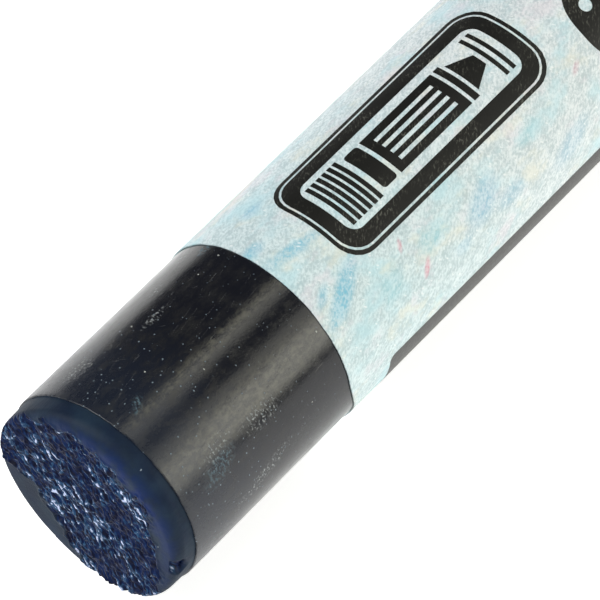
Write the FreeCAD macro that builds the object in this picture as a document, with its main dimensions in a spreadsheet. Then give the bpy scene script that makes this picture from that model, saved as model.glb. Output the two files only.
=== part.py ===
"""Thick woodless crayon: a wax stick in a lacquer skin, with a glued paper sleeve that can slide.

Millimetres. The crayon lies on its side along X with its working tip at -X and its back end at +X,
+Z up. The origin is under the middle of its length, on the surface that it rests on.
"""

import FreeCAD, Part
import Sketcher
import math
import os

SIZES = (
    # alias, value, meaning
    ("StickLength", 100, "whole length, tip to back end"),
    ("BarrelDiameter", 11, "over the lacquer"),
    ("LacquerThickness", 0.08, "lacquer skin on the wax"),
    ("StubLength", 1.4, "bare wax in front of the lacquer's cut edge"),
    ("StubEndDiameter", 10.7, "bare wax at the tip, before its edge is rounded"),
    ("TipEdgeRadius", 0.3, "rounded edge of the worn tip"),
    ("BackEdgeRadius", 0.7, "rounded edge of the back end, over the lacquer"),
    ("BareFront", 11.25, "lacquer showing between its cut edge and the paper"),
    ("BareBack", 4, "lacquer showing between the paper and the back end"),
    ("PaperThickness", 0.06, "one layer of the printed paper"),
    ("PaperGap", 0.015, "radial play of the sleeve on the lacquer"),
    ("GlueThickness", 0.03, "adhesive film under the overlap"),
    ("GlueInset", 0.8, "adhesive stops this far from the sleeve's ends"),
    ("OverlapAngle", 38, "degrees of the turn that the paper overlaps itself"),
    ("GlueAngle", 34, "degrees of the overlap that hold adhesive"),
    ("RampAngle", 8, "degrees over which the paper climbs onto its own edge"),
    ("SeamAngle", -66.25, "paper's inner edge, degrees from +Y towards +Z"),
)

# Expressions on the spreadsheet's cells, shared by several parts.
HALF_LENGTH = "Sizes.StickLength / 2"
BARREL_RADIUS = "(Sizes.BarrelDiameter / 2)"
CORE_RADIUS = "(Sizes.BarrelDiameter / 2 - Sizes.LacquerThickness)"
PAPER_INNER = "(Sizes.BarrelDiameter / 2 + Sizes.PaperGap)"
PAPER_OUTER = "(Sizes.BarrelDiameter / 2 + Sizes.PaperGap + Sizes.PaperThickness)"
FLAP_INNER = "(" + PAPER_OUTER + " + Sizes.GlueThickness)"
FLAP_OUTER = "(" + FLAP_INNER + " + Sizes.PaperThickness)"
CORE_LENGTH = "(Sizes.StickLength - Sizes.LacquerThickness)"
PAPER_FRONT = "(Sizes.StubLength + Sizes.BareFront)"
PAPER_LENGTH = "(Sizes.StickLength - Sizes.BareBack - " + PAPER_FRONT + ")"

ORIGIN = (-1, 1)  # the sketch's own origin point
ROW_AXIS = -1  # the sketch's horizontal axis
START, END, CENTRE = 1, 2, 3  # the points of a line or an arc
SAME_PLACE = 1e-4  # two rims this close are one

doc = FreeCAD.newDocument("crayon")


def make_sheet():
    sheet = doc.addObject("Spreadsheet::Sheet", "Sizes")
    for row, (alias, value, meaning) in enumerate(SIZES, start=1):
        sheet.set("A%d" % row, alias)
        sheet.set("B%d" % row, str(value))
        sheet.setAlias("B%d" % row, alias)
        sheet.set("C%d" % row, meaning)
    doc.recompute()
    return sheet


sheet = make_sheet()


def number(expression):
    """The present value of an expression on the sheet's cells."""
    return float(sheet.evalExpression(expression))


def new_body(label, front="0", turn="0"):
    """A body whose own X axis is the crayon's, starting a distance behind the tip."""
    body = doc.addObject("PartDesign::Body", label)
    body.Label = label
    body.setExpression("Placement.Base.x", front + " - " + HALF_LENGTH)
    body.setExpression("Placement.Base.z", PAPER_OUTER)
    body.Placement.Rotation = FreeCAD.Rotation(FreeCAD.Vector(1, 0, 0), 0)
    body.setExpression("Placement.Rotation.Angle", turn)
    return body


def new_sketch(body, name, role):
    sketch = body.newObject("Sketcher::SketchObject", name)
    plane = next(f for f in body.Origin.OriginFeatures if f.Role == role)
    sketch.AttachmentSupport = [(plane, "")]
    sketch.MapMode = "FlatFace"
    return sketch


def constrain(sketch, expression, kind, *where):
    """A dimension whose value follows an expression."""
    index = sketch.addConstraint(Sketcher.Constraint(kind, *where, number(expression)))
    sketch.setExpression("Constraints[%d]" % index, expression)


def join(sketch, first, first_point, second, second_point):
    sketch.addConstraint(Sketcher.Constraint("Coincident", first, first_point, second, second_point))


def profile(sketch, corners):
    """A closed outline of straight lines through corners given as pairs of expressions."""
    points = [FreeCAD.Vector(number(x), number(y), 0) for x, y in corners]
    count = len(points)
    for index in range(count):
        sketch.addGeometry(Part.LineSegment(points[index], points[(index + 1) % count]), False)
    for index in range(count):
        join(sketch, index, END, (index + 1) % count, START)
    for index, (x, y) in enumerate(corners):
        constrain(sketch, x, "DistanceX", *ORIGIN, index, START)
        if y == "0":
            sketch.addConstraint(Sketcher.Constraint("PointOnObject", index, START, ROW_AXIS))
        else:
            constrain(sketch, y, "DistanceY", *ORIGIN, index, START)


def revolve(body, name, sketch):
    turned = body.newObject("PartDesign::Revolution", name)
    turned.Profile = sketch
    turned.ReferenceAxis = (sketch, ["H_Axis"])
    turned.Angle = 360
    sketch.Visibility = False
    doc.recompute()
    return turned


def rim(feature, along, radius):
    """The name of the circular edge of a radius, at a place along the axis."""
    for index, edge in enumerate(feature.Shape.Edges, start=1):
        curve = edge.Curve
        if not isinstance(curve, Part.Circle):
            continue
        at_place = math.isclose(curve.Center.x, along, abs_tol=SAME_PLACE)
        if at_place and math.isclose(curve.Radius, radius, abs_tol=SAME_PLACE):
            return "Edge%d" % index
    raise RuntimeError("no rim of radius %.3f at %.3f on %s" % (radius, along, feature.Name))


def round_rim(body, name, feature, along, radius, fillet):
    """Rounds a rim given as expressions for its place, its radius and the fillet's."""
    rounded = body.newObject("PartDesign::Fillet", name)
    rounded.Base = (feature, [rim(feature, number(along), number(radius))])
    rounded.setExpression("Radius", fillet)
    doc.recompute()
    return rounded


def make_wax_core():
    """The pigmented stick: its bare tip tapers a little, and the lacquer covers the rest."""
    body = new_body("wax_core")
    sketch = new_sketch(body, "CoreProfile", "XZ_Plane")
    profile(
        sketch,
        (
            ("0", "0"),
            (CORE_LENGTH, "0"),
            (CORE_LENGTH, CORE_RADIUS),
            ("Sizes.StubLength", CORE_RADIUS),
            ("0", "Sizes.StubEndDiameter / 2"),
        ),
    )
    turned = revolve(body, "CoreTurned", sketch)
    tip = round_rim(body, "CoreTipEdge", turned, "0", "Sizes.StubEndDiameter / 2", "Sizes.TipEdgeRadius")
    inner_back_radius = "Sizes.BackEdgeRadius - Sizes.LacquerThickness"
    round_rim(body, "CoreBackEdge", tip, CORE_LENGTH, CORE_RADIUS, inner_back_radius)
    return body


def make_lacquer_coat():
    """The dipped skin: a thin cup over the back end, cut square where the tip was sharpened."""
    body = new_body("lacquer_coat")
    sketch = new_sketch(body, "SkinProfile", "XZ_Plane")
    profile(
        sketch,
        (
            ("Sizes.StubLength", CORE_RADIUS),
            (CORE_LENGTH, CORE_RADIUS),
            (CORE_LENGTH, "0"),
            ("Sizes.StickLength", "0"),
            ("Sizes.StickLength", BARREL_RADIUS),
            ("Sizes.StubLength", BARREL_RADIUS),
        ),
    )
    turned = revolve(body, "SkinTurned", sketch)
    outer = round_rim(
        body, "SkinBackEdge", turned, "Sizes.StickLength", BARREL_RADIUS, "Sizes.BackEdgeRadius"
    )
    inner_back_radius = "Sizes.BackEdgeRadius - Sizes.LacquerThickness"
    round_rim(body, "SkinInnerEdge", outer, CORE_LENGTH, CORE_RADIUS, inner_back_radius)
    return body


def on_circle(radius, angle):
    turned = math.radians(number(angle))
    return FreeCAD.Vector(number(radius) * math.cos(turned), number(radius) * math.sin(turned), 0)


def add_line(sketch, start, end, construction=False):
    return sketch.addGeometry(Part.LineSegment(start, end), construction)


def add_arc(sketch, radius, angle):
    """An arc about the sketch's origin, from its horizontal axis round to an angle in degrees."""
    circle = Part.Circle(FreeCAD.Vector(0, 0, 0), FreeCAD.Vector(0, 0, 1), number(radius))
    turned = math.radians(number(angle) % 360)
    index = sketch.addGeometry(Part.ArcOfCircle(circle, 0, turned), False)
    ray = add_line(sketch, FreeCAD.Vector(0, 0, 0), on_circle(radius, angle), True)
    join(sketch, index, CENTRE, *ORIGIN)
    join(sketch, ray, START, *ORIGIN)
    join(sketch, ray, END, index, END)
    sketch.addConstraint(Sketcher.Constraint("PointOnObject", index, START, ROW_AXIS))
    constrain(sketch, radius, "Distance", ray)
    constrain(sketch, angle + " * 1 deg", "Angle", ROW_AXIS, START, ray, START)
    return index


def pad(body, name, sketch, length):
    solid = body.newObject("PartDesign::Pad", name)
    solid.Profile = sketch
    solid.setExpression("Length", length)
    sketch.Visibility = False
    doc.recompute()
    return solid


def make_paper_wrapper():
    """One sheet rolled once around the stick, which climbs onto its own first edge and overlaps it."""
    body = new_body("paper_wrapper", PAPER_FRONT, "Sizes.SeamAngle")
    sketch = new_sketch(body, "SheetSection", "YZ_Plane")
    ramp_start = "(0 - Sizes.RampAngle)"
    inner = add_arc(sketch, PAPER_INNER, ramp_start)
    outer = add_arc(sketch, PAPER_OUTER, ramp_start)
    flap_inner = add_arc(sketch, FLAP_INNER, "Sizes.OverlapAngle")
    flap_outer = add_arc(sketch, FLAP_OUTER, "Sizes.OverlapAngle")
    first_edge = add_line(sketch, on_circle(PAPER_INNER, "0"), on_circle(PAPER_OUTER, "0"))
    last_edge = add_line(
        sketch,
        on_circle(FLAP_INNER, "Sizes.OverlapAngle"),
        on_circle(FLAP_OUTER, "Sizes.OverlapAngle"),
    )
    inner_ramp = add_line(sketch, on_circle(PAPER_INNER, ramp_start), on_circle(FLAP_INNER, "0"))
    outer_ramp = add_line(sketch, on_circle(PAPER_OUTER, ramp_start), on_circle(FLAP_OUTER, "0"))
    for line, start_arc, start_point, end_arc, end_point in (
        (first_edge, inner, START, outer, START),
        (last_edge, flap_inner, END, flap_outer, END),
        (inner_ramp, inner, END, flap_inner, START),
        (outer_ramp, outer, END, flap_outer, START),
    ):
        join(sketch, line, START, start_arc, start_point)
        join(sketch, line, END, end_arc, end_point)
    pad(body, "SheetRolled", sketch, PAPER_LENGTH)
    return body


def make_seam_glue():
    """The adhesive film between the paper's first edge and the flap over it."""
    front = "(" + PAPER_FRONT + " + Sizes.GlueInset)"
    body = new_body("seam_glue", front, "Sizes.SeamAngle")
    sketch = new_sketch(body, "FilmSection", "YZ_Plane")
    inner = add_arc(sketch, PAPER_OUTER, "Sizes.GlueAngle")
    outer = add_arc(sketch, FLAP_INNER, "Sizes.GlueAngle")
    first_edge = add_line(sketch, on_circle(PAPER_OUTER, "0"), on_circle(FLAP_INNER, "0"))
    last_edge = add_line(
        sketch,
        on_circle(PAPER_OUTER, "Sizes.GlueAngle"),
        on_circle(FLAP_INNER, "Sizes.GlueAngle"),
    )
    for line, point in ((first_edge, START), (last_edge, END)):
        join(sketch, line, START, inner, point)
        join(sketch, line, END, outer, point)
    pad(body, "FilmSpread", sketch, "(" + PAPER_LENGTH + " - 2 * Sizes.GlueInset)")
    return body


def ring_volume(outer, inner, length, turn=1.0):
    return math.pi * (outer**2 - inner**2) * length * turn


def check(bodies):
    doc.recompute()
    for item in doc.Objects:
        if "Invalid" in item.State or "Error" in item.State:
            raise RuntimeError("%s failed: %s" % (item.Name, item.State))
    for body in bodies:
        shape = body.Shape
        if shape.isNull() or not shape.isValid() or len(shape.Solids) != 1:
            raise RuntimeError("%s is not one valid solid" % body.Label)
    glue_turn = number("Sizes.GlueAngle") / 360
    sheet_turn = 1 + number("Sizes.OverlapAngle") / 360
    expected = {
        "wax_core": ring_volume(number(CORE_RADIUS), 0, number(CORE_LENGTH)),
        "lacquer_coat": ring_volume(number(BARREL_RADIUS), 0, number("Sizes.StickLength - Sizes.StubLength"))
        - ring_volume(number(CORE_RADIUS), 0, number(CORE_LENGTH + " - Sizes.StubLength")),
        "paper_wrapper": ring_volume(
            number(PAPER_OUTER), number(PAPER_INNER), number(PAPER_LENGTH), sheet_turn
        ),
        "seam_glue": ring_volume(
            number(FLAP_INNER),
            number(PAPER_OUTER),
            number(PAPER_LENGTH + " - 2 * Sizes.GlueInset"),
            glue_turn,
        ),
    }
    for body in bodies:
        box = body.Shape.BoundBox
        print(
            "%-14s volume %9.3f mm3, plain estimate %9.3f; x %.3f..%.3f y %.3f..%.3f z %.3f..%.3f"
            % (
                body.Label,
                body.Shape.Volume,
                expected[body.Label],
                box.XMin,
                box.XMax,
                box.YMin,
                box.YMax,
                box.ZMin,
                box.ZMax,
            )
        )


def export(bodies):
    os.makedirs("parts", exist_ok=True)
    for body in bodies:
        body.Shape.exportStep("parts/%s.step" % body.Label)


parts = [make_wax_core(), make_lacquer_coat(), make_paper_wrapper(), make_seam_glue()]
check(parts)
export(parts)
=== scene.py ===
"""Looks of a used, thick blue crayon: broken wax tip, scratched lacquer skin and printed paper sleeve.

Lengths that describe detail are in millimetres and are turned into metres by MM; places come from the
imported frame. Angles around the stick are in degrees from +Z towards -Y, which is towards the viewer.
"""

import math

import bmesh
import bpy
from mathutils import Matrix, Vector, noise


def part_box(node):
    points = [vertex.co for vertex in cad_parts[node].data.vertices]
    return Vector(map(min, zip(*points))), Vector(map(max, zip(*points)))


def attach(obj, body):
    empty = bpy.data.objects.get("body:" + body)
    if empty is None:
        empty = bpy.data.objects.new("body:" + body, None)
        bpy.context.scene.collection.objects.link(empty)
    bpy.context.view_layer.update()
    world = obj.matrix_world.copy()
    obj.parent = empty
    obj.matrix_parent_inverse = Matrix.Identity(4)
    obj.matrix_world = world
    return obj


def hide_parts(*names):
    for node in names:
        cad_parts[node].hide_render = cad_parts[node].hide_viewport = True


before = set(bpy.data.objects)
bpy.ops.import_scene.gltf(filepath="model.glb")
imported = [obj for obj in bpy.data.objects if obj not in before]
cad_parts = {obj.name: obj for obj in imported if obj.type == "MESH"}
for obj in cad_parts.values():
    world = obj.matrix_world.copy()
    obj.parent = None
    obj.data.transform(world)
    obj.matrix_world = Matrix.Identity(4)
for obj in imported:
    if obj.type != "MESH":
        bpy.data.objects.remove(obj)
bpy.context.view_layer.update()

MM = 0.001
VIEW_AZIMUTH = -51.1
VIEW_ELEVATION = 52.5
VIEW_DISTANCE = 254.3 * MM
VIEW_LENS = 321.0
VIEW_BEHIND_SKIN_EDGE = 14.21 * MM  # the view is aimed this far along the axis from the lacquer's edge
VIEW_NUDGE = (0.084 * MM, -0.086 * MM)  # right and up from there

STICK_BODY = "stick"
SLEEVE_BODY = "sleeve"

PAPER_GAP = 0.015
PAPER_THICK = 0.06
GLUE_THICK = 0.03
SHEET_START = 203.75  # angle of the paper's inner edge, in degrees
FLAP_TURN = 38.0  # the paper laps itself by this many degrees
RAMP_TURN = 8.0
INK_LOW, INK_HIGH = 0.003, 0.010  # the ink's faces above the paper
INK_STRIP = 0.28  # the ink is rolled in strips this wide
NICK_DEPTH = 0.7  # the paper's front edge is worn back by up to this much,
NICK_ANGLE, NICK_SPREAD = 90, 20  # round this angle from the facing side

core_low, core_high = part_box("wax_core")
skin_low, skin_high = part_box("lacquer_coat")
paper_low, paper_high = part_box("paper_wrapper")
SKIN_FRONT = skin_low.x
BACK_X = skin_high.x
PAPER_FRONT = paper_low.x
PAPER_BACK = paper_high.x
AXIS_Z = (core_low.z + core_high.z) / 2
CORE_R = (core_high.z - core_low.z) / 2
CORE_BACK = core_high.x
BARREL_R = skin_high.z - AXIS_Z
PAPER_R = BARREL_R + (PAPER_GAP + PAPER_THICK) * MM
BACK_EDGE = 0.7 * MM

# Angle of the side that faces the viewer.
FACING = math.degrees(
    math.atan2(
        math.cos(math.radians(VIEW_AZIMUTH)) * math.cos(math.radians(VIEW_ELEVATION)),
        math.sin(math.radians(VIEW_ELEVATION)),
    )
)


# ---------------------------------------------------------------- shape helpers


def around(angle):
    """Unit direction square to the axis, at an angle in degrees."""
    turned = math.radians(angle)
    return Vector((0.0, -math.sin(turned), math.cos(turned)))


def place(x, radius, angle):
    """A point at a distance from the axis, all in metres and degrees."""
    return Vector((x, 0.0, AXIS_Z)) + around(angle) * radius


def smoothstep(low, high, value):
    t = min(max((value - low) / (high - low), 0.0), 1.0)
    return t * t * (3 - 2 * t)


def new_object(name, mesh, material, body, sharp=50.0):
    piece = bpy.data.objects.new(name, mesh)
    bpy.context.scene.collection.objects.link(piece)
    mesh.materials.append(material)
    mesh.polygons.foreach_set("use_smooth", [True] * len(mesh.polygons))
    if sharp:
        mesh.set_sharp_from_angle(angle=math.radians(sharp))
    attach(piece, body)
    return piece


def mesh_from(name, points, faces):
    mesh = bpy.data.meshes.new(name)
    mesh.from_pydata([tuple(point) for point in points], [], faces)
    bm = bmesh.new()
    bm.from_mesh(mesh)
    bmesh.ops.recalc_face_normals(bm, faces=bm.faces[:])
    bm.to_mesh(mesh)
    bm.free()
    return mesh


def ring_faces(first, second, count):
    """Quads between two closed rings, each given by the number of its first vertex."""
    return [
        (first + i, first + (i + 1) % count, second + (i + 1) % count, second + i)
        for i in range(count)
    ]


# ---------------------------------------------------------------- material helpers


class Shader:
    """Nodes of one material, made a call at a time. Positions are in millimetres in the row frame."""

    def __init__(self, name):
        self.material = bpy.data.materials.new(name)
        self.material.use_nodes = True
        self.tree = self.material.node_tree
        self.tree.nodes.clear()
        self.surface = self.node("ShaderNodeBsdfPrincipled")
        output = self.node("ShaderNodeOutputMaterial")
        self.tree.links.new(self.surface.outputs["BSDF"], output.inputs["Surface"])
        coordinates = self.node("ShaderNodeTexCoord")
        self.position = self.vector("SCALE", coordinates.outputs["Object"], scale=1 / MM)

    def node(self, kind, **settings):
        made = self.tree.nodes.new(kind)
        for key, value in settings.items():
            setattr(made, key, value)
        return made

    def put(self, value, socket):
        if isinstance(value, bpy.types.NodeSocket):
            self.tree.links.new(value, socket)
        else:
            socket.default_value = value

    def set(self, **values):
        """Sets or links the surface's inputs; underscores in the names stand for spaces."""
        for name, value in values.items():
            self.put(value, self.surface.inputs[name.replace("_", " ")])

    def math(self, operation, *values):
        made = self.node("ShaderNodeMath", operation=operation)
        for value, socket in zip(values, made.inputs):
            self.put(value, socket)
        return made.outputs[0]

    def vector(self, operation, *values, scale=None):
        made = self.node("ShaderNodeVectorMath", operation=operation)
        for value, socket in zip(values, made.inputs):
            self.put(value, socket)
        if scale is not None:
            self.put(scale, made.inputs["Scale"])
        return made.outputs[0]

    def split(self, vector):
        made = self.node("ShaderNodeSeparateXYZ")
        self.put(vector, made.inputs[0])
        return made.outputs

    def dot(self, vector, direction):
        made = self.node("ShaderNodeVectorMath", operation="DOT_PRODUCT")
        self.put(vector, made.inputs[0])
        self.put(tuple(direction), made.inputs[1])
        return made.outputs["Value"]

    def combined(self, *values):
        made = self.node("ShaderNodeCombineXYZ")
        for value, socket in zip(values, made.inputs):
            self.put(value, socket)
        return made.outputs[0]

    def wrapped(self):
        """(along, around, 0) in millimetres: the surface unrolled, cut along its underside."""
        x, y, z = self.split(self.position)[:3]
        up = self.math("SUBTRACT", z, AXIS_Z / MM)
        left = self.math("MULTIPLY", y, -1.0)
        angle = self.math("ARCTAN2", left, up)
        return self.combined(x, self.math("MULTIPLY", angle, BARREL_R / MM))

    def stretched(self, vector, x, y, z=1.0, shift=(0.0, 0.0, 0.0)):
        """Divides by a feature's size along each axis."""
        scaled = self.vector("MULTIPLY", vector, (1 / x, 1 / y, 1 / z))
        return self.vector("ADD", scaled, shift)

    def turned(self, vector, degrees):
        made = self.node("ShaderNodeVectorRotate", rotation_type="Z_AXIS")
        self.put(vector, made.inputs["Vector"])
        made.inputs["Angle"].default_value = math.radians(degrees)
        return made.outputs[0]

    def noise(self, vector, detail=3.0, roughness=0.55, output="Fac"):
        made = self.node("ShaderNodeTexNoise")
        self.put(vector, made.inputs["Vector"])
        made.inputs["Scale"].default_value = 1.0
        made.inputs["Detail"].default_value = detail
        made.inputs["Roughness"].default_value = roughness
        return made.outputs[output]

    def cells(self, vector):
        made = self.node("ShaderNodeTexVoronoi")
        self.put(vector, made.inputs["Vector"])
        made.inputs["Scale"].default_value = 1.0
        return made

    def ramp(self, value, low, high, to_low=0.0, to_high=1.0):
        """Smoothly from to_low to to_high as value goes from low to high."""
        made = self.node("ShaderNodeMapRange", interpolation_type="SMOOTHSTEP")
        for name, item in (("Value", value), ("From Min", low), ("From Max", high)):
            self.put(item, made.inputs[name])
        self.put(to_low, made.inputs["To Min"])
        self.put(to_high, made.inputs["To Max"])
        return made.outputs[0]

    def mix(self, factor, first, second, blend="MIX"):
        made = self.node("ShaderNodeMix", data_type="RGBA", blend_type=blend)
        self.put(factor, made.inputs[0])
        for value, socket in ((first, made.inputs[6]), (second, made.inputs[7])):
            self.put((*value, 1.0) if isinstance(value, tuple) else value, socket)
        return made.outputs[2]

    def layered(self, colour, layers):
        """Lays tints over a colour, one after another: (mask, the tint's share where it is 1, tint) each."""
        for mask, share, tint in layers:
            colour = self.mix(self.math("MULTIPLY", mask, share), colour, tint)
        return colour

    def attribute(self, name):
        return self.node("ShaderNodeAttribute", attribute_name=name).outputs["Fac"]

    def bump(self, height, depth_mm, strength=1.0):
        made = self.node("ShaderNodeBump")
        made.inputs["Strength"].default_value = strength
        made.inputs["Distance"].default_value = depth_mm * MM
        self.put(height, made.inputs["Height"])
        return made.outputs[0]

    def lines(self, vector, width, rarity):
        """Thin lines along the contours of a stretched noise, kept only in some places."""
        field = self.noise(vector, detail=1.0, roughness=0.4)
        offset = self.math("ABSOLUTE", self.math("SUBTRACT", field, 0.5))
        line = self.ramp(offset, 0.0, width, 1.0, 0.0)
        where = self.noise(self.vector("ADD", vector, (7.3, 1.9, 4.1)), detail=1.0)
        return self.math("MULTIPLY", line, self.ramp(where, rarity, rarity + 0.08))

    def specks(self, vector, size, share, seed=0.0):
        """Small ragged specks, one in some of the cells."""
        moved = self.vector("ADD", vector, (seed, seed, seed))
        ragged = self.noise(self.vector("SCALE", moved, scale=5.0), detail=1.0, output="Color")
        spot = self.cells(self.vector("ADD", moved, self.vector("SCALE", ragged, scale=0.22)))
        pick = self.split(spot.outputs["Color"])[0]
        near = self.ramp(spot.outputs["Distance"], size * 0.45, size, 1.0, 0.0)
        return self.math("MULTIPLY", near, self.math("GREATER_THAN", pick, 1.0 - share))

    def spot(self, vector, along, across, length, width, tilt=0.0):
        """A soft oval mask on the unrolled surface, centred along and across it."""
        moved = self.vector("SUBTRACT", vector, (along, across, 0.0))
        flat = self.vector("MULTIPLY", self.turned(moved, tilt), (1 / length, 1 / width, 0.0))
        size = self.node("ShaderNodeVectorMath", operation="LENGTH")
        self.put(flat, size.inputs[0])
        return self.ramp(size.outputs["Value"], 0.25, 1.0, 1.0, 0.0)

    def marks(self, vector, front, places):
        """Soft ovals: (mm behind the front, angle from the facing side, half length, half width, tilt)."""
        together = None
        for along, angle, length, width, tilt in places:
            mask = self.spot(vector, front + along, arc_mm(FACING + angle), length, width, tilt)
            together = mask if together is None else self.math("MAXIMUM", together, mask)
        return together


def arc_mm(angle):
    """Millimetres around the barrel from the top, for an angle in degrees."""
    return math.radians(angle) * BARREL_R / MM


# ---------------------------------------------------------------- materials


def lacquer_material():
    """Near-black gloss under a blotchy film of dust, with specks, fine scratches and rubbed-on wax; a warm,
    light mottle is painted into the colour along the lights' reflection bands as painted reflection.
    """
    s = Shader("lacquer")
    flat = s.wrapped()
    front = SKIN_FRONT / MM
    along = s.math("SUBTRACT", s.split(flat)[0], front)
    film = s.noise(s.stretched(s.position, 1.1, 0.6, 0.6), detail=7.0, roughness=0.75)
    film = s.ramp(film, 0.42, 0.70)
    grain = s.noise(s.stretched(s.position, 0.15, 0.10, 0.10), detail=3.0, roughness=0.6)
    dust = s.specks(s.stretched(s.position, 0.25, 0.25, 0.25), 0.20, 0.42)
    dust = s.math("MULTIPLY", dust, s.ramp(along, 4.5, 9.0, 0.85, 0.30))
    grit = s.specks(s.stretched(s.position, 0.7, 0.7, 0.7), 0.07, 0.35, seed=3.7)
    fine = s.lines(s.stretched(s.turned(flat, 8), 2.6, 0.16), 0.010, 0.60)
    cross = s.lines(s.stretched(s.turned(flat, -52), 2.0, 0.22), 0.008, 0.66)
    scratches = s.math("MAXIMUM", fine, cross)
    scuffed = s.marks(
        flat,
        front,
        (
            (5.9, 28, 1.5, 0.7, 0),
            (3.1, 24, 1.3, 0.55, 10),
            (4.9, 59, 2.6, 0.5, 16),
            (6.1, -47, 1.1, 0.3, 0),
            (1.9, -60, 1.2, 0.7, 0),
            (7.8, -63, 0.7, 0.35, 0),
            (10.3, -69, 0.8, 0.5, 0),
        ),
    )
    smeared = s.marks(
        flat,
        front,
        ((2.7, 33, 1.5, 0.7, 20), (1.6, -18, 0.7, 0.3, 30), (10.9, -59, 0.6, 0.4, 0)),
    )
    # Painted reflection: strips along the lights' reflection bands, where a dust-like mottle is painted warm
    # and light into the colour.
    reflection_band_strips = s.marks(flat, front, ((5.5, 18, 11.0, 1.3, 0), (6.0, -13, 10.0, 0.5, 0)))
    mottle = s.noise(s.stretched(flat, 0.45, 0.28, shift=(9.0, 4.0, 0.0)), detail=5.0, roughness=0.7)
    mottle = s.math("MULTIPLY", s.ramp(mottle, 0.38, 0.66), reflection_band_strips)
    crumbs = s.noise(s.stretched(flat, 0.13, 0.19), detail=4.0, roughness=0.65)
    scuff = s.math("MULTIPLY", s.math("POWER", scuffed, 0.7), s.ramp(crumbs, 0.52, 0.66))
    smear = s.math("MULTIPLY", s.math("POWER", smeared, 0.7), s.ramp(crumbs, 0.47, 0.62))
    waxy = s.ramp(s.math("ADD", along, s.math("MULTIPLY", film, 2.0)), 1.0, 7.5, 1.0, 0.0)
    colour = s.layered(
        (0.0055, 0.0060, 0.0095),
        (
            (waxy, 0.6, (0.010, 0.015, 0.028)),
            (film, 0.08, (0.125, 0.120, 0.090)),
            # painted reflection: warm mottle along the light bands
            (mottle, 0.36, (0.145, 0.140, 0.105)),
            (smear, 0.70, (0.075, 0.140, 0.175)),
            (scratches, 0.25, (0.22, 0.23, 0.22)),
            (scuff, 0.75, (0.36, 0.39, 0.39)),
            (dust, 0.75, (0.22, 0.29, 0.34)),
            (grit, 0.7, (0.50, 0.52, 0.48)),
        ),
    )
    rough = s.math("ADD", s.ramp(waxy, 0.0, 1.0, 0.16, 0.26), s.math("MULTIPLY", film, 0.12))
    marked = s.math("MAXIMUM", s.math("MAXIMUM", smear, scuff), s.math("MAXIMUM", dust, grit))
    rough = s.math("MAXIMUM", rough, s.math("MULTIPLY", marked, 0.65))
    height = s.math("MULTIPLY", marked, 0.7)
    height = s.math("SUBTRACT", height, s.math("MULTIPLY", scratches, 0.4))
    height = s.math("ADD", height, s.math("MULTIPLY", grain, 0.36))
    height = s.math("ADD", height, s.math("MULTIPLY", film, 0.02))
    s.set(Base_Color=colour, Roughness=rough, Normal=s.bump(height, 0.012), IOR=1.43)
    return s.material


def wax_material():
    """Dark-blue wax: dull and smooth where it is worn, crumbled where it is broken, with glints painted into
    its colour on the crests (painted highlights).
    """
    s = Shader("wax")
    broken = s.attribute("broken")
    crest = s.attribute("crest")
    worn = s.attribute("worn")
    grain = s.combined(
        s.dot(s.position, around(FACING + STREAK_TURN)),
        s.dot(s.position, around(FACING + STREAK_TURN + 90)),
        s.split(s.position)[0],
    )
    cloud = s.noise(s.stretched(s.position, 1.4, 1.4, 1.4), detail=4.0)
    smooth = s.mix(s.ramp(cloud, 0.35, 0.7), (0.006, 0.013, 0.027), (0.012, 0.025, 0.042))
    patches = s.ramp(s.noise(s.stretched(s.position, 0.9, 0.9, 0.9), detail=3.0), 0.36, 0.60, 0.25, 1.0)
    smooth = s.mix(s.math("MULTIPLY", worn, patches), smooth, (0.0010, 0.013, 0.075))
    fine = s.noise(s.stretched(grain, 0.55, 0.12, 0.3), detail=3.0, roughness=0.55)
    coarse = s.noise(s.stretched(grain, 2.6, 1.2, 1.2), detail=2.0)
    crumb_and_glint = s.mix(s.ramp(fine, 0.38, 0.62), (0.0010, 0.0022, 0.016), (0.0035, 0.015, 0.068))
    # Painted highlights: lighter blue and lavender-white glints painted into the colour on the crests and
    # streaks of the broken wax.
    painted_glint = s.math("ADD", s.math("MULTIPLY", crest, 0.42), s.math("MULTIPLY", fine, 0.75))
    painted_glint = s.math("ADD", painted_glint, s.math("MULTIPLY", coarse, 0.65))
    crumb_and_glint = s.mix(s.ramp(painted_glint, 0.93, 1.09, 0.0, 0.6), crumb_and_glint, (0.040, 0.12, 0.23))
    crumb_and_glint = s.mix(s.ramp(painted_glint, 1.08, 1.17, 0.0, 0.95), crumb_and_glint, (0.60, 0.67, 0.90))
    colour = s.mix(broken, smooth, crumb_and_glint)
    specks = s.specks(s.stretched(s.position, 0.7, 0.7, 0.7), 0.09, 0.2)
    colour = s.mix(s.math("MULTIPLY", specks, 0.7), colour, (0.30, 0.36, 0.42))
    scuffs = s.noise(s.stretched(s.position, 0.5, 0.16, 0.16), detail=5.0, roughness=0.6)
    crumbled = s.math("MULTIPLY", fine, s.ramp(broken, 0.0, 1.0, 0.0, 0.35))
    height = s.math("ADD", s.math("MULTIPLY", scuffs, 0.3), crumbled)
    s.set(
        Base_Color=colour,
        Roughness=s.ramp(broken, 0.0, 1.0, 0.55, 0.34),
        Normal=s.bump(height, 0.06),
        IOR=1.40,
        Specular_IOR_Level=0.16,
    )
    return s.material


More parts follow.
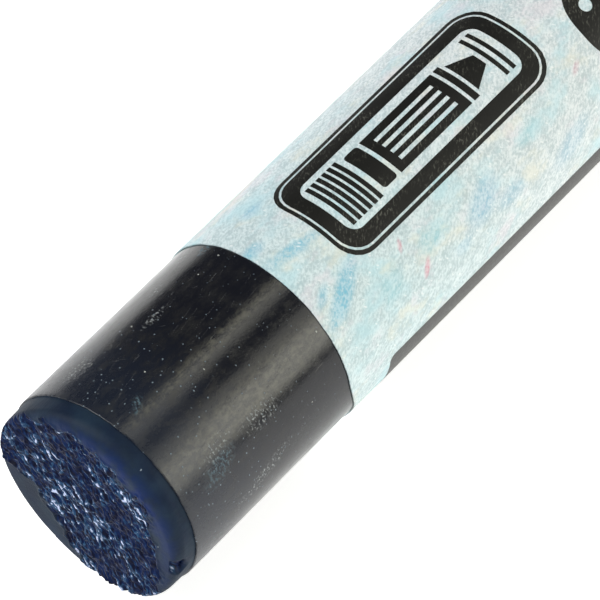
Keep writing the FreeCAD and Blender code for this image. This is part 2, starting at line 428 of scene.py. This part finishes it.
def paper_material():
    """Coated off-white paper with a mottled grain, rubbed-in pastel smears, fibres and specks."""
    s = Shader("paper")
    flat = s.wrapped()
    front = PAPER_FRONT / MM
    fleck = s.noise(s.stretched(s.turned(flat, 40), 0.20, 0.13), detail=3.0, roughness=0.65)
    mottle = s.stretched(s.turned(flat, 25), 1.0, 0.6, shift=(2.0, 5.0, 0.0))
    mottle = s.noise(mottle, detail=5.0, roughness=0.65)
    grain = s.math("ADD", s.math("MULTIPLY", fleck, 0.6), s.math("MULTIPLY", mottle, 0.4))
    cloud_a = s.noise(s.stretched(flat, 4.0, 2.6), detail=4.0, roughness=0.6)
    cloud_b = s.noise(s.stretched(flat, 3.0, 2.0, shift=(31.0, 7.0, 0.0)), detail=4.0, roughness=0.6)
    cloud_c = s.noise(s.stretched(flat, 2.6, 1.8, shift=(-17.0, 23.0, 0.0)), detail=4.0, roughness=0.6)
    colour = s.mix(s.ramp(grain, 0.40, 0.60), (0.45, 0.525, 0.545), (0.70, 0.74, 0.75))
    cyan_end = s.ramp(s.math("SUBTRACT", s.split(flat)[0], front), 4.0, 17.0, 0.75, 0.12)
    colour = s.mix(cyan_end, colour, s.mix(1.0, colour, (0.86, 0.975, 0.985), blend="MULTIPLY"))
    colour = s.mix(s.ramp(cloud_a, 0.48, 0.68, 0.0, 0.55), colour, (0.40, 0.65, 0.71))
    colour = s.mix(s.ramp(cloud_b, 0.52, 0.68, 0.0, 0.5), colour, (0.71, 0.69, 0.58))
    colour = s.mix(s.ramp(cloud_c, 0.53, 0.70, 0.0, 0.4), colour, (0.69, 0.60, 0.66))
    blue, teal, deep, pink = (0.18, 0.44, 0.62), (0.24, 0.53, 0.60), (0.15, 0.45, 0.60), (0.68, 0.20, 0.28)
    for along, angle, length, width, tilt, tint, strength in (
        (1.7, -18.5, 2.4, 0.5, -8, deep, 0.8),
        (1.9, 14.0, 2.6, 0.7, 31, deep, 1.0),
        (1.0, 7.5, 0.9, 0.35, 31, deep, 0.6),
        (0.5, -33, 0.9, 0.5, 0, deep, 0.75),
        (2.6, -53, 1.0, 0.5, 0, blue, 0.5),
        (4.4, 29, 1.4, 0.9, 30, teal, 0.55),
        (7.5, 25, 1.4, 0.8, 20, teal, 0.6),
        (11.2, 31, 2.0, 1.1, 25, blue, 0.62),
        (9.1, 42, 1.0, 0.5, 0, blue, 0.4),
        (12.9, 40, 1.6, 0.7, 0, blue, 0.4),
        (17.5, 44, 2.2, 0.9, 20, blue, 0.4),
        (15.2, 21, 1.4, 0.6, 10, teal, 0.4),
        (6.6, 35.5, 0.70, 0.24, 50, pink, 0.9),
        (5.9, 16.5, 0.50, 0.20, 60, pink, 0.6),
        (19.7, 15.2, 0.6, 0.25, 30, pink, 0.4),
    ):
        mask = s.spot(flat, front + along, arc_mm(FACING + angle), length, width, tilt)
        mask = s.math("MULTIPLY", mask, s.ramp(grain, 0.36, 0.56, 1.0, 0.45))
        colour = s.mix(s.math("MULTIPLY", mask, strength), colour, tint)
    specks = s.specks(s.stretched(flat, 0.5, 0.5), 0.09, 0.22)
    flecks = s.specks(s.stretched(s.turned(flat, -50), 0.50, 0.26, shift=(8.0, 3.0, 0.0)), 0.24, 0.4)
    dots = s.specks(s.stretched(flat, 1.6, 1.6), 0.045, 0.4, seed=5.3)
    colour = s.layered(
        colour,
        (
            (specks, 0.45, (0.22, 0.32, 0.38)),
            (flecks, 0.6, (0.80, 0.83, 0.83)),
            (dots, 0.7, (0.12, 0.15, 0.22)),
        ),
    )
    fibres = s.lines(s.stretched(s.turned(flat, -35), 0.7, 0.12), 0.02, 0.5)
    height = s.math("ADD", grain, s.math("MULTIPLY", fibres, 0.4))
    s.set(
        Base_Color=colour,
        Roughness=s.ramp(grain, 0.38, 0.62, 0.62, 0.5),
        Normal=s.bump(height, 0.03, strength=0.8),
        IOR=1.45,
    )
    return s.material


def ink_material(name, base, worn, wear, ior):
    """Printing ink, rubbed thin along the paper's grain."""
    s = Shader(name)
    flat = s.wrapped()
    rub = s.noise(s.stretched(s.turned(flat, 40), 0.26, 0.10), detail=4.0, roughness=0.65)
    patch = s.noise(s.stretched(flat, 2.4, 1.6, shift=(5.0, 9.0, 0.0)), detail=3.0)
    worn_mask = s.math("MULTIPLY", s.ramp(rub, 0.5, 0.75), s.ramp(patch, 0.42, 0.66))
    colour = s.mix(s.math("MULTIPLY", worn_mask, wear), base, worn)
    s.set(Base_Color=colour, Roughness=s.ramp(rub, 0.3, 0.7, 0.5, 0.38), Normal=s.bump(rub, 0.012), IOR=ior)
    return s.material


def glue_material():
    s = Shader("glue")
    cloud = s.noise(s.stretched(s.position, 1.5, 0.6, 0.6), detail=4.0)
    colour = s.mix(s.ramp(cloud, 0.3, 0.7), (0.62, 0.58, 0.46), (0.74, 0.72, 0.64))
    s.set(Base_Color=colour, Roughness=0.35, Normal=s.bump(cloud, 0.01))
    return s.material


# ---------------------------------------------------------------- wax stick

FACE_CELLS = 200  # quads across the broken end; its rim has four times as many
SHOULDER_RINGS = 16
SIDE_RINGS = 8
UNDER_LACQUER = 0.05  # the last of the side's rings is this far behind the lacquer's edge
END_LENGTH = 1.12  # millimetres of wax that stand out of the lacquer
BULGES = ((0.38, 108, 42), (0.22, -98, 34))  # extra mm of length, angle from the facing side, half width
CHIP_ANGLE, CHIP_HALF_ANGLE = 70, 5.6  # from the facing side
CHIP_AHEAD, CHIP_HALF_LENGTH = 1.02, 0.40  # its middle is this far in front of the lacquer's edge
CHIP_DEPTH, CHIP_SETBACK = 0.288, 0.18  # inward and backward
WOBBLE, WOBBLE_RATE = 0.02, 900.0  # unevenness of the bare wax in millimetres, and its waves per metre
STREAK_TURN = 110.6  # degrees from the facing side to the way the crumbled streaks run
STREAK_SIZES = ((1.05, 0.36, 0.11), (0.52, 0.17, 0.085), (0.26, 0.09, 0.045))  # length, width, height
BROKEN_DEPTH = 0.12
LIP_HEIGHT = 0.045  # wax pushed up around the broken patch
BARE_STEP = 0.03  # the bare wax is worn this much thinner than under the lacquer

# Radius in millimetres inside which the end is broken, against the angle from the facing side.
BROKEN_EDGE = (
    (0, 4.0),
    (28, 4.2),
    (48, 3.95),
    (68, 3.85),
    (86, 4.6),
    (100, 5.5),
    (150, 5.6),
    (170, 4.6),
    (182, 3.9),
    (203, 3.5),
    (222, 3.6),
    (238, 5.2),
    (285, 5.6),
    (302, 5.0),
    (320, 4.55),
    (340, 4.35),
)


def round_table(table, angle):
    """A smooth closed curve through (angle, value) points."""
    angle %= 360
    for (first, low), (second, high) in zip(table, (*table[1:], (table[0][0] + 360, table[0][1]))):
        if first <= angle <= second:
            return low + (high - low) * smoothstep(first, second, angle)
    return table[0][1]


def from_facing(angle):
    return (angle - FACING + 180) % 360 - 180


def hump(value, middle, half_width):
    return math.exp(-(((value - middle) / half_width) ** 2))


def end_length(angle):
    return END_LENGTH + sum(extra * hump(from_facing(angle), *where) for extra, *where in BULGES)


def shoulder(angle):
    """Radius of the worn edge in millimetres, broad on the facing side."""
    return 0.22 + 0.68 * hump(from_facing(angle), 8, 60)


def streaks(across, up):
    """Relief of the broken wax in millimetres, and how much of a crest it is, at a point of the end."""
    turned = math.radians(FACING + STREAK_TURN)
    along = across * math.sin(turned) + up * math.cos(turned)
    aside = across * math.cos(turned) - up * math.sin(turned)
    height, crest = 0.0, 0.0
    for number, (length, width, depth) in enumerate(STREAK_SIZES):
        spot = Vector((along / length + 11.0 * number, aside / width, 3.0 * number))
        ridged = 1.0 - abs(noise.noise(spot + Vector((5.0, 9.0, 1.0)))) * 2.6
        height += depth * (1.1 * noise.noise(spot) + 0.75 * ridged)
        crest += ridged / len(STREAK_SIZES)
    return height, crest


def broken_share(across, up, radius, angle):
    """How broken the wax is at a point of the end, 0 to 1, and how near the broken patch's edge."""
    edge = round_table(BROKEN_EDGE, from_facing(angle))
    spot = Vector((across * 1.4, up * 1.4, 2.0))
    edge += noise.noise(spot) * 0.45 + noise.noise(spot * 3.1) * 0.22
    return smoothstep(-0.08, 0.12, edge - radius), hump(edge - radius, -0.06, 0.13)


def chip_share(angle, ahead):
    """How deep the chip is, 0 to 1, at an angle and this many millimetres ahead of the lacquer."""
    ragged = noise.noise(Vector((angle * 0.12, ahead * 4.0, 3.0))) * 0.5
    turned = hump(from_facing(angle) - 6.0 * ragged, CHIP_ANGLE, CHIP_HALF_ANGLE)
    return smoothstep(0.25, 0.7, turned * hump(ahead + 0.3 * ragged, CHIP_AHEAD, CHIP_HALF_LENGTH))


def disc_point(a, b):
    """A point of the unit square, from -1 to 1 each way, moved to the unit disc."""
    if a == 0 and b == 0:
        return 0.0, 0.0
    if abs(a) > abs(b):
        radius, turned = a, math.pi / 4 * b / a
    else:
        radius, turned = b, math.pi / 2 - math.pi / 4 * a / b
    return radius * math.cos(turned), radius * math.sin(turned)


def wax_point(radius, angle, length):
    """(place, broken, crest) of a point of the end before its relief; all in millimetres."""
    across = radius * math.sin(math.radians(angle))
    up = radius * math.cos(math.radians(angle))
    broken, lip = broken_share(across, up, radius, angle)
    height, crest = streaks(across, up)
    rough = 1 + noise.noise(Vector((across * 2.2, up * 2.2, 8.0)))
    length += broken * (height - BROKEN_DEPTH) + LIP_HEIGHT * lip * rough
    return place(SKIN_FRONT - length * MM, radius * MM, angle), broken, max(0.0, min(1.0, crest))


def rubbed_share(angle, turn):
    """How rubbed to bare blue the shoulder is, 0 to 1, at an angle and a share of the way down it."""
    return (0.15 + 0.85 * hump(from_facing(angle), 12, 62)) * (1 - 0.9 * smoothstep(0.05, 0.75, turn))


def make_wax(material):
    """The whole stick: a square grid pressed into a disc as its end, then rings to the back."""
    size = CORE_R / MM - BARE_STEP
    cells = FACE_CELLS
    points, broken, crest, worn, faces = [], [], [], [], []

    def add(point, is_broken, is_crest, is_worn):
        points.append(point)
        broken.append(is_broken)
        crest.append(is_crest)
        worn.append(is_worn * (1 - is_broken))

    for j in range(cells + 1):
        for i in range(cells + 1):
            across, up = disc_point(2 * i / cells - 1, 2 * j / cells - 1)
            reach = math.hypot(across, up)
            angle = math.degrees(math.atan2(across, up))
            radius = reach * (size - shoulder(angle))
            length = END_LENGTH + (end_length(angle) - END_LENGTH) * reach**2
            add(*wax_point(radius, angle, length), smoothstep(0.72, 1.0, reach) * rubbed_share(angle, 0.0))
    for j in range(cells):
        for i in range(cells):
            start = j * (cells + 1) + i
            faces.append((start, start + 1, start + cells + 2, start + cells + 1))
    corner = (cells + 1) ** 2 - 1
    rim = list(range(cells))
    rim += [(j + 1) * (cells + 1) - 1 for j in range(cells)]
    rim += [corner - i for i in range(cells)]
    rim += [(cells + 1) * (cells - j) for j in range(cells)]
    angles = [math.degrees(math.atan2(-points[i].y, points[i].z - AXIS_Z)) for i in rim]
    previous = rim

    def add_ring(previous, shape):
        start = len(points)
        for angle in angles:
            add(*shape(angle))
        current = list(range(start, start + len(angles)))
        faces.extend(
            (previous[i], current[i], current[(i + 1) % len(rim)], previous[(i + 1) % len(rim)])
            for i in range(len(rim))
        )
        return current

    for step in range(1, SHOULDER_RINGS + 1):
        turned = math.pi / 2 * step / SHOULDER_RINGS
        fade = 1 - smoothstep(0.25, 1.0, step / SHOULDER_RINGS)

        def shape(angle):
            edge = shoulder(angle)
            radius = size - edge * (1 - math.sin(turned))
            length = end_length(angle) - edge * (1 - math.cos(turned))
            point, is_broken, is_crest = wax_point(radius, angle, length)
            flat = place(SKIN_FRONT - length * MM, radius * MM, angle)
            wobble = noise.noise(flat * WOBBLE_RATE) * WOBBLE * math.sin(turned)
            gone = chip_share(angle, length)
            radius += wobble - gone * CHIP_DEPTH
            x = flat.x + (point.x - flat.x) * fade + gone * CHIP_SETBACK * MM
            rubbed = rubbed_share(angle, step / SHOULDER_RINGS)
            return place(x, radius * MM, angle), max(is_broken * fade, gone), is_crest * fade, rubbed

        previous = add_ring(previous, shape)
    for step in range(1, SIDE_RINGS + 1):
        share = step / SIDE_RINGS

        def shape(angle):
            length = (end_length(angle) - shoulder(angle)) * (1 - share) - UNDER_LACQUER * share
            flat = place(SKIN_FRONT - length * MM, CORE_R, angle)
            gone = chip_share(angle, length)
            wobble = noise.noise(flat * WOBBLE_RATE) * WOBBLE * (1 - share)
            radius = size + BARE_STEP * share + wobble - gone * CHIP_DEPTH
            return place(flat.x, radius * MM, angle), gone, 0.0, 0.1 * (1 - share)

        previous = add_ring(previous, shape)
    bend = BACK_EDGE - (BARREL_R - CORE_R)
    for x, radius in (
        (0.0, CORE_R),
        (CORE_BACK - bend, CORE_R),
        (CORE_BACK - bend * 0.3, CORE_R - bend * 0.3),
        (CORE_BACK, CORE_R - bend),
    ):
        previous = add_ring(previous, lambda angle: (place(x, radius, angle), 0.0, 0.0, 0.0))
    centre = len(points)
    add(Vector((CORE_BACK, 0.0, AXIS_Z)), 0.0, 0.0, 0.0)
    faces.extend((previous[i], centre, previous[(i + 1) % len(rim)]) for i in range(len(rim)))
    mesh = mesh_from("wax_stick", points, faces)
    for name, values in (("broken", broken), ("crest", crest), ("worn", worn)):
        mesh.attributes.new(name, "FLOAT", "POINT").data.foreach_set("value", values)
    piece = new_object("wax_stick", mesh, material, STICK_BODY, sharp=0)
    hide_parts("wax_core")


# ---------------------------------------------------------------- lacquer skin


SKIN_COLUMNS = 480
SKIN_STEP = 0.2  # between the rings of the bare part, close enough to carry its unevenness
SKIN_BACK_RINGS = 24
SKIN_BEND_RINGS = 8
SKIN_WAVE_RATE = 330.0  # waves per metre


def make_lacquer(material):
    """A closed skin: from its ragged lip along the outside to the back, then forward along the inside."""
    skin_front, skin_back = SKIN_FRONT / MM, BACK_X / MM
    core, barrel, bend = CORE_R / MM, BARREL_R / MM, BACK_EDGE / MM
    inner_back = CORE_BACK / MM
    bare_end = PAPER_FRONT / MM + 1.0
    straight_end = skin_back - bend
    # Each ring is (x, radius, share of the waves, share of the lip's raggedness).
    rings = [
        (skin_front, core, 0, 1),
        (skin_front, barrel - 0.02, 0, 1),
        (skin_front + 0.02, barrel - 0.004, 0.3, 0.8),
    ]
    for i in range(int((bare_end - skin_front) / SKIN_STEP)):
        rings.append((skin_front + 0.06 + SKIN_STEP * i, barrel, 1, max(0, 0.6 - i)))
    for i in range(1, SKIN_BACK_RINGS):
        x = bare_end + (straight_end - bare_end) * i / SKIN_BACK_RINGS
        rings.append((x, barrel, 0.5, 0))
    for i in range(SKIN_BEND_RINGS + 1):
        turned = math.pi / 2 * i / SKIN_BEND_RINGS
        radius = barrel - bend * (1 - math.cos(turned))
        rings.append((straight_end + bend * math.sin(turned), radius, 0, 0))
    outside = len(rings)
    rings += [(inner_back, core - bend, 0, 0), (inner_back - bend, core, 0, 0)]
    points, faces, starts = [], [], []
    for x, radius, wavy, ragged in rings:
        starts.append(len(points))
        for i in range(SKIN_COLUMNS):
            angle = 360.0 * i / SKIN_COLUMNS
            spot = place(x * MM, radius * MM, angle) * SKIN_WAVE_RATE
            tear = noise.noise(around(angle) * 9.0) * 0.03 + noise.noise(around(angle) * 40.0) * 0.02
            wave = noise.noise(spot) * 0.009 + noise.noise(spot * 2.3) * 0.004
            points.append(place((x + tear * ragged) * MM, (radius + wave * wavy) * MM, angle))
    closed = starts + starts[:1]
    for number in range(len(rings)):
        if number != outside - 1:
            faces += ring_faces(closed[number], closed[number + 1], SKIN_COLUMNS)
    for number, x in ((outside - 1, BACK_X), (outside, CORE_BACK)):
        centre = len(points)
        points.append(Vector((x, 0.0, AXIS_Z)))
        start = starts[number]
        faces += [(centre, start + i, start + (i + 1) % SKIN_COLUMNS) for i in range(SKIN_COLUMNS)]
    mesh = mesh_from("lacquer_skin", points, faces)
    piece = new_object("lacquer_skin", mesh, material, STICK_BODY)
    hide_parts("lacquer_coat")


# ---------------------------------------------------------------- paper sleeve


SLEEVE_COLUMNS = 480
SLEEVE_ROWS = 90  # between its two edges, where a few more rows are closer together
EDGE_FADE = 1.4  # the unevenness of the front edge fades out over this length
BACK_MARGIN = 1.0
PAPER_WAVE, PAPER_WAVE_RATE = 0.0015, 260.0  # unevenness in millimetres, and its waves per metre


def sleeve_radius(turn):
    """Inner radius of the paper in millimetres, against degrees along the sheet from its inner edge."""
    lap = BARREL_R / MM + PAPER_GAP
    climb = smoothstep(360 - RAMP_TURN, 360, turn)
    return lap + climb * (PAPER_THICK + GLUE_THICK)


def make_sleeve(material):
    """One sheet rolled a little more than once, lying on its own edge along the seam."""
    columns = SLEEVE_COLUMNS
    total = 360 + FLAP_TURN
    length = (PAPER_BACK - PAPER_FRONT) / MM
    middle = length - EDGE_FADE - BACK_MARGIN
    rows = [0.0, 0.03, 0.15, 0.4, 0.8]
    rows += [EDGE_FADE + middle * i / SLEEVE_ROWS for i in range(SLEEVE_ROWS + 1)]
    rows += [length - 0.6, length - 0.1, length]
    points, faces = [], []
    for side in (0, 1):
        for row in rows:
            for column in range(columns + 1):
                turn = total * column / columns
                angle = SHEET_START + turn
                spot = place(PAPER_FRONT + row * MM, PAPER_R, angle) * PAPER_WAVE_RATE
                radius = sleeve_radius(turn) + PAPER_THICK * side
                edge = max(0.0, 1.0 - row / EDGE_FADE)
                cut = noise.noise(around(angle) * 5.0) * 0.05 + noise.noise(around(angle) * 30.0) * 0.012
                cut += NICK_DEPTH * hump(from_facing(angle), NICK_ANGLE, NICK_SPREAD)
                radius += noise.noise(spot) * PAPER_WAVE * side
                points.append(place(PAPER_FRONT + (row + cut * edge) * MM, radius * MM, angle))
    wide = columns + 1
    inner, outer = 0, wide * len(rows)
    for row in range(len(rows) - 1):
        for column in range(columns):
            a = row * wide + column
            b = a + wide
            faces.append((inner + a, inner + b, inner + b + 1, inner + a + 1))
            faces.append((outer + a, outer + a + 1, outer + b + 1, outer + b))
        for column in (0, columns):
            a = row * wide + column
            faces.append((inner + a, outer + a, outer + a + wide, inner + a + wide))
    for row in (0, len(rows) - 1):
        for column in range(columns):
            a = row * wide + column
            faces.append((inner + a, inner + a + 1, outer + a + 1, outer + a))
    mesh = mesh_from("printed_sleeve", points, faces)
    piece = new_object("printed_sleeve", mesh, material, SLEEVE_BODY)
    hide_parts("paper_wrapper")


# ---------------------------------------------------------------- print

# Places are in millimetres behind the paper's front edge and in degrees around the stick.
BADGE_START, BADGE_LENGTH, BADGE_HALF = 3.3, 15.6, 3.0
BADGE_FRAMES = ((0.0, 1.5), (0.22, 1.35), (0.34, 1.25), (1.15, 0.7))  # inset and corner of each outline
BADGE_ANGLE = 4.0
PALETTE_ANGLE = 31.0
BRUSH_ANGLE = -7.0
PANEL_MARGIN = 3.0
PANEL_ANGLE, PANEL_HALF_TURN = 143.0, 52.0


def box_outline(x0, x1, y0, y1, corner=0.0):
    """A rectangle with round corners, in millimetres on the unrolled paper."""
    if not corner:
        return [(x0, y0), (x1, y0), (x1, y1), (x0, y1)]
    outline = []
    for centre_x, centre_y, start in (
        (x1 - corner, y1 - corner, 0),
        (x0 + corner, y1 - corner, 90),
        (x0 + corner, y0 + corner, 180),
        (x1 - corner, y0 + corner, 270),
    ):
        for step in range(7):
            turned = math.radians(start + 15 * step)
            outline.append((centre_x + corner * math.cos(turned), centre_y + corner * math.sin(turned)))
    return outline


def round_outline(x, y, radius, count=24):
    turns = [2 * math.pi * i / count for i in range(count)]
    return [(x + radius * math.cos(t), y + radius * math.sin(t)) for t in turns]


def blob_outline(x, y, half_x, half_y, count=72):
    """A flattened oval with a dent, as a painter's palette has."""
    outline = []
    for i in range(count):
        turned = 2 * math.pi * i / count
        square = (abs(math.cos(turned)) ** 2.6 + abs(math.sin(turned)) ** 2.6) ** (-1 / 2.6)
        dent = 1 - 0.24 * math.exp(-(((math.degrees(turned) - 55) / 15) ** 2))
        reach = square * dent
        outline.append((x + half_x * reach * math.cos(turned), y + half_y * reach * math.sin(turned)))
    return outline


def print_on_sleeve(name, outlines, middle_angle, material):
    """Ink as a thin closed film: outlines (along from the paper's edge, around) are filled, then rolled."""
    bm = bmesh.new()
    for outline in outlines:
        corners = [bm.verts.new((a, b, 0.0)) for a, b in outline]
        for first, second in zip(corners, corners[1:] + corners[:1]):
            bm.edges.new((first, second))
    bmesh.ops.triangle_fill(bm, use_beauty=True, edges=bm.edges[:], normal=(0, 0, 1))
    low = min(b for outline in outlines for a, b in outline)
    high = max(b for outline in outlines for a, b in outline)
    cuts = int((high - low) / INK_STRIP)
    for cut in range(1, cuts + 1):
        bmesh.ops.bisect_plane(
            bm,
            geom=bm.verts[:] + bm.edges[:] + bm.faces[:],
            plane_co=(0, low + cut * (high - low) / (cuts + 1), 0),
            plane_no=(0, 1, 0),
        )
    bm.verts.index_update()
    flat = [vert.co.copy() for vert in bm.verts]
    cells = [[vert.index for vert in face.verts] for face in bm.faces]
    border = [[vert.index for vert in edge.verts] for edge in bm.edges if len(edge.link_faces) == 1]
    bm.free()
    points = []
    for radius in (PAPER_R + INK_LOW * MM, PAPER_R + INK_HIGH * MM):
        for spot in flat:
            angle = middle_angle + math.degrees(spot.y * MM / PAPER_R)
            points.append(place(PAPER_FRONT + spot.x * MM, radius, angle))
    count = len(flat)
    faces = [cell[::-1] for cell in cells] + [[index + count for index in cell] for cell in cells]
    faces += [[a, b, b + count, a + count] for a, b in border]
    new_object(name, mesh_from(name, points, faces), material, SLEEVE_BODY)


def make_prints(ink, panel_ink):
    """A badge with a pictogram of a crayon, a painter's palette, a brush, and a plain panel."""
    badge = [
        box_outline(inset, BADGE_LENGTH - inset, inset - BADGE_HALF, BADGE_HALF - inset, corner)
        for inset, corner in BADGE_FRAMES
    ]
    badge += [box_outline(1.5 + 0.4 * i, 1.76 + 0.4 * i, -1.5, 1.5) for i in range(6)]
    badge += [box_outline(4.1, 5.1, -1.3, 1.3, 0.2), box_outline(5.35, 10.8, -1.3, 1.3)]
    badge += [box_outline(5.9, 10.25, -0.86 + 0.5 * i, -0.64 + 0.5 * i) for i in range(4)]
    badge += [box_outline(11.0, 11.4, -1.3, 1.3), [(11.6, -1.05), (13.0, -0.4), (13.0, 0.4), (11.6, 1.05)]]
    badge += [box_outline(13.25, 13.5, -1.5, 1.5), box_outline(13.75, 14.0, -1.5, 1.5)]
    badge = [[(a + BADGE_START, b) for a, b in outline] for outline in badge]
    print_on_sleeve("badge_print", badge, BADGE_ANGLE, ink)
    palette = [blob_outline(26.1, 0.0, 4.9, 3.0), round_outline(28.4, -1.1, 0.75)]
    wells = ((22.5, -0.9), (22.7, 0.75), (24.4, 1.8), (24.2, -1.9), (26.7, 1.9))
    palette += [round_outline(x, y, 0.36) for x, y in wells]
    print_on_sleeve("palette_print", palette, PALETTE_ANGLE, ink)
    brush = [[(21.0, -0.42), (23.0, -0.5), (23.0, 0.5), (21.0, 0.42), (20.3, 0.0)]]
    brush += [box_outline(23.2, 25.0, -0.42, 0.42), box_outline(25.2, 31.7, -0.28, 0.28, 0.25)]
    print_on_sleeve("brush_print", brush, BRUSH_ANGLE, ink)
    half = math.radians(PANEL_HALF_TURN) * PAPER_R / MM
    length = (PAPER_BACK - PAPER_FRONT) / MM
    panel = [box_outline(PANEL_MARGIN, length - PANEL_MARGIN, -half, half, 0.35)]
    print_on_sleeve("panel_print", panel, PANEL_ANGLE, panel_ink)


# ---------------------------------------------------------------- finish


def make_floor():
    mesh = bpy.data.meshes.new("floor")
    half = 3.0
    corners = [(-half, -half, 0), (half, -half, 0), (half, half, 0), (-half, half, 0)]
    mesh.from_pydata(corners, [], [(0, 1, 2, 3)])
    material = bpy.data.materials.new("floor")
    material.use_nodes = True
    surface = material.node_tree.nodes["Principled BSDF"]
    surface.inputs["Base Color"].default_value = (0.93, 0.93, 0.93, 1)
    surface.inputs["Roughness"].default_value = 0.9
    surface.inputs["Specular IOR Level"].default_value = 0.1
    surface.inputs["Emission Color"].default_value = (1, 1, 1, 1)
    surface.inputs["Emission Strength"].default_value = 0.6
    mesh.materials.append(material)
    floor = bpy.data.objects.new("floor", mesh)
    bpy.context.scene.collection.objects.link(floor)


def add_light(name, out, distance, width, length, radiance, shift=0.0, colour=(1.0, 1.0, 1.0)):
    """A soft panel that faces the crayon from the direction out, its long side square to it and level."""
    out = out.normalized()
    side = Vector((0.0, 0.0, 1.0)).cross(out) if abs(out.x) > 0.01 else Vector((1.0, 0.0, 0.0))
    side.normalize()
    light = bpy.data.lights.new(name, "AREA")
    light.shape = "RECTANGLE"
    light.size = length
    light.size_y = width
    light.energy = radiance * length * width * math.pi
    light.color = colour
    lamp = bpy.data.objects.new(name, light)
    middle = Vector((shift, 0.0, AXIS_Z)) + out * distance
    lamp.matrix_world = frame_matrix(side, out.cross(side), out, middle)
    lamp.visible_camera = False
    bpy.context.scene.collection.objects.link(lamp)


def frame_matrix(x_axis, y_axis, z_axis, origin):
    return Matrix(
        (
            (x_axis.x, y_axis.x, z_axis.x, origin.x),
            (x_axis.y, y_axis.y, z_axis.y, origin.y),
            (x_axis.z, y_axis.z, z_axis.z, origin.z),
            (0, 0, 0, 1),
        )
    )


def make_lights():
    # The first three show as bands on the lacquer; the fills light the wax end and the paper.
    warm = (1.0, 0.99, 0.88)
    length, shift = 0.55, 0.32
    add_light("strip", around(5.5), 0.60, 0.16, length, 2.5, shift, warm)
    add_light("soft_panel", around(59), 0.62, 0.56, length, 1.9, shift, warm)
    add_light("panel_middle", around(65), 0.60, 0.30, length, 2.6, shift, warm)
    add_light("front_fill", Vector((-0.55, 0.50, 0.67)), 0.70, 0.50, 0.50, 6.2)
    add_light("right_fill", Vector((-0.62, -0.55, 0.56)), 0.70, 0.50, 0.50, 1.6)
    world = bpy.data.worlds.new("studio")
    world.use_nodes = True
    world.node_tree.nodes["Background"].inputs["Color"].default_value = (0.8, 0.85, 0.9, 1)
    world.node_tree.nodes["Background"].inputs["Strength"].default_value = 0.10
    bpy.context.scene.world = world


def make_camera():
    camera = bpy.data.cameras.new("camera")
    camera.lens = VIEW_LENS
    camera.sensor_width = 36.0
    camera.clip_start, camera.clip_end = 0.01, 20.0
    holder = bpy.data.objects.new("camera", camera)
    turned, raised = math.radians(VIEW_AZIMUTH), math.radians(VIEW_ELEVATION)
    level = math.cos(raised)
    back = Vector((math.sin(turned) * level, -math.cos(turned) * level, math.sin(raised)))
    right = Vector((math.cos(turned), math.sin(turned), 0.0))
    up = back.cross(right)
    aim = Vector((SKIN_FRONT + VIEW_BEHIND_SKIN_EDGE, 0.0, AXIS_Z))
    aim += right * VIEW_NUDGE[0] + up * VIEW_NUDGE[1]
    holder.matrix_world = frame_matrix(right, up, back, aim + back * VIEW_DISTANCE)
    bpy.context.scene.collection.objects.link(holder)
    bpy.context.scene.camera = holder


lacquer = lacquer_material()
wax = wax_material()
paper = paper_material()
glue = glue_material()
ink = ink_material("ink", (0.009, 0.009, 0.008), (0.26, 0.26, 0.22), 0.6, 1.3)
panel_ink = ink_material("panel_ink", (0.028, 0.027, 0.025), (0.10, 0.10, 0.090), 0.5, 1.5)
make_wax(wax)
make_lacquer(lacquer)
make_sleeve(paper)
make_prints(ink, panel_ink)
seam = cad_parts["seam_glue"]
seam.data.materials.clear()
seam.data.materials.append(glue)
make_floor()
make_lights()
make_camera()
bpy.context.scene.view_settings.view_transform = "Standard"
